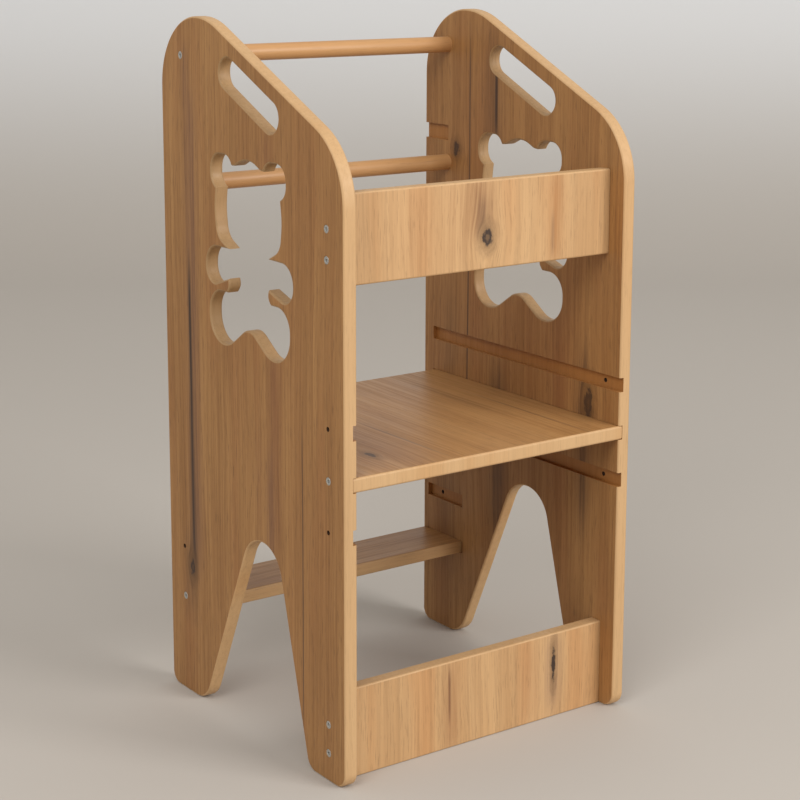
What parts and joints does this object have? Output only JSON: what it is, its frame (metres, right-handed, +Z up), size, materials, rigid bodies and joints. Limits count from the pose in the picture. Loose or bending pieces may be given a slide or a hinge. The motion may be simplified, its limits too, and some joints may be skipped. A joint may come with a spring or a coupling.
{
  "type": "toddler kitchen helper stool",
  "caption": "Wooden toddler kitchen helper stool with bear cut-out side panels, a height-adjustable standing platform, a footrest step, front boards and round rails.",
  "frame": {"origin": "on the floor under the middle of the stool", "axes": "+Z up, X across the width, the front with the two boards faces -Y"},
  "size_m": [0.44, 0.42, 0.9],
  "materials": {
    "panel_wood": "satin oiled",
    "board_wood": "satin oiled",
    "rail_wood": "satin oiled",
    "screw_steel": "zinc plated"
  },
  "bodies": {
    "root": {"left_side_panel": "panel_wood", "right_side_panel": "panel_wood", "platform": "panel_wood", "footrest_step": "panel_wood", "upper_front_board": "board_wood", "lower_front_board": "board_wood", "top_rail": "rail_wood", "lower_rail": "rail_wood", "right_top_rail_screw": "screw_steel", "left_top_rail_screw": "screw_steel", "right_upper_board_high_screw": "screw_steel", "left_upper_board_high_screw": "screw_steel", "right_upper_board_low_screw": "screw_steel", "left_upper_board_low_screw": "screw_steel", "right_lower_board_high_screw": "screw_steel", "left_lower_board_high_screw": "screw_steel", "right_lower_board_low_screw": "screw_steel", "left_lower_board_low_screw": "screw_steel", "right_platform_screw": "screw_steel", "left_platform_screw": "screw_steel", "right_step_screw": "screw_steel", "left_step_screw": "screw_steel"}
  },
  "joints": []
}
